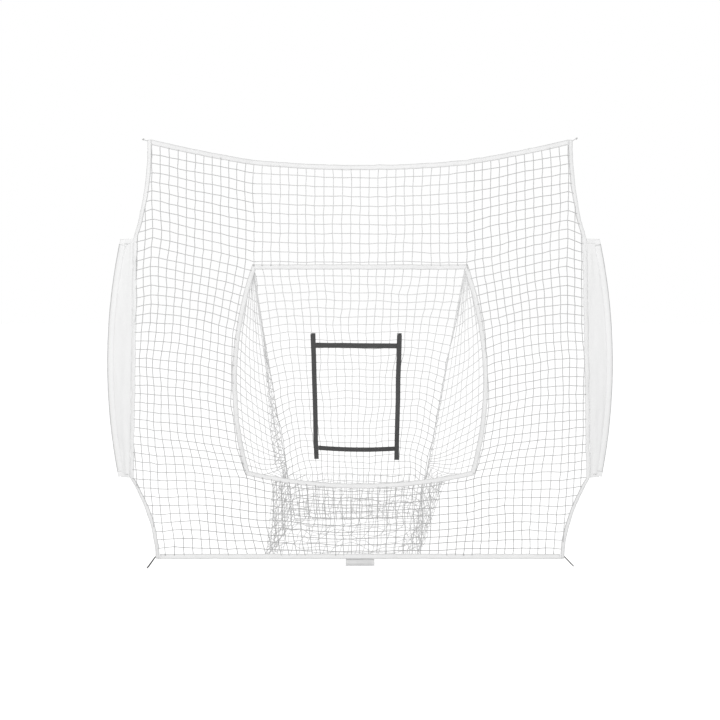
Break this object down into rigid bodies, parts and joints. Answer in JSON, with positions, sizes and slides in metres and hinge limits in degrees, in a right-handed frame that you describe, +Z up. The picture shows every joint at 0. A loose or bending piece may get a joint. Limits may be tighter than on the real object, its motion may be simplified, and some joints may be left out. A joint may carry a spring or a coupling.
{
  "type": "pitching target net",
  "caption": "Square-mesh pitching net with a deep ball pocket, taped edges, fabric side panels with pole sleeves, corner ties, base wrap and a webbing strike zone.",
  "frame": {"origin": "middle of the base bar that the wrap closes round", "axes": "+X to the pitcher's right along the base bar, +Y into the pocket, +Z up"},
  "size_m": [2.5568, 0.7125, 2.1477],
  "materials": {
    "netting": "matt twisted polyester twine",
    "binding_tape": "matt woven tape",
    "panel_fabric": "matt woven polyester",
    "webbing": "matt dark webbing",
    "cord": "braided cord",
    "elastic": "covered elastic cord",
    "wrap_fabric": "hook-and-loop fabric"
  },
  "bodies": {
    "net": {"top_net": "netting", "left_wing_net": "netting", "right_wing_net": "netting", "apron_net": "netting", "left_edge_net": "netting", "right_edge_net": "netting", "pocket_back_net": "netting", "left_pocket_net": "netting", "right_pocket_net": "netting", "pocket_floor_net": "netting", "top_hem_tape": "binding_tape", "bottom_hem_tape": "binding_tape", "left_edge_tape": "binding_tape", "right_edge_tape": "binding_tape", "mouth_top_tape": "binding_tape", "mouth_left_tape": "binding_tape", "mouth_right_tape": "binding_tape", "mouth_sill_tape": "binding_tape", "zone_left_strap": "webbing", "zone_right_strap": "webbing", "zone_top_strap": "webbing", "zone_bottom_strap": "webbing", "zone_grip_tabs": "webbing", "base_wrap": "wrap_fabric"},
    "left_side_panel": {"left_panel": "panel_fabric", "left_pole_sleeve": "panel_fabric", "left_panel_top_hem": "panel_fabric", "left_panel_bottom_hem": "panel_fabric"},
    "right_side_panel": {"right_panel": "panel_fabric", "right_pole_sleeve": "panel_fabric", "right_panel_top_hem": "panel_fabric", "right_panel_bottom_hem": "panel_fabric"},
    "wrap_flap": {"base_wrap_flap": "wrap_fabric"},
    "top_left_tie": {"top_left_cord": "cord", "top_left_knot": "cord"},
    "top_right_tie": {"top_right_cord": "cord", "top_right_knot": "cord"},
    "bottom_left_bungee": {"bottom_left_loop": "elastic"},
    "bottom_right_bungee": {"bottom_right_loop": "elastic"}
  },
  "joints": [
    {"name": "left_panel_fold", "type": "hinge", "parent": "net", "child": "left_side_panel", "pos_m": [-1.13751, 0.05698, 1.01252], "axis": [-0.0418, 0.0169, -0.999], "range_deg": [0, 95]},
    {"name": "right_panel_fold", "type": "hinge", "parent": "net", "child": "right_side_panel", "pos_m": [1.13751, 0.05698, 1.01252], "axis": [-0.0418, -0.0169, 0.999], "range_deg": [0, 95]},
    {"name": "wrap_flap_open", "type": "hinge", "parent": "net", "child": "wrap_flap", "pos_m": [0, 0, -0.0165], "axis": [-1, 0, 0], "range_deg": [0, 110]},
    {"name": "top_left_tie_swing", "type": "hinge", "parent": "net", "child": "top_left_tie", "pos_m": [-1.02695, 0.01015, 2.07452], "axis": [-0.7986, -0.6018, 0], "range_deg": [-68, 92]},
    {"name": "bottom_left_bungee_swing", "type": "hinge", "parent": "net", "child": "bottom_left_bungee", "pos_m": [-1.02762, 0.01042, 0.02352], "axis": [-0.3497, -0.8897, -0.2936], "range_deg": [-46, 44]},
    {"name": "top_right_tie_swing", "type": "hinge", "parent": "net", "child": "top_right_tie", "pos_m": [1.02695, 0.01015, 2.07452], "axis": [-0.7986, 0.6018, 0], "range_deg": [-63, 97]},
    {"name": "bottom_right_bungee_swing", "type": "hinge", "parent": "net", "child": "bottom_right_bungee", "pos_m": [1.02766, 0.01044, 0.02352], "axis": [-0.3745, 0.8689, 0.3237], "range_deg": [-40, 50]}
  ]
}
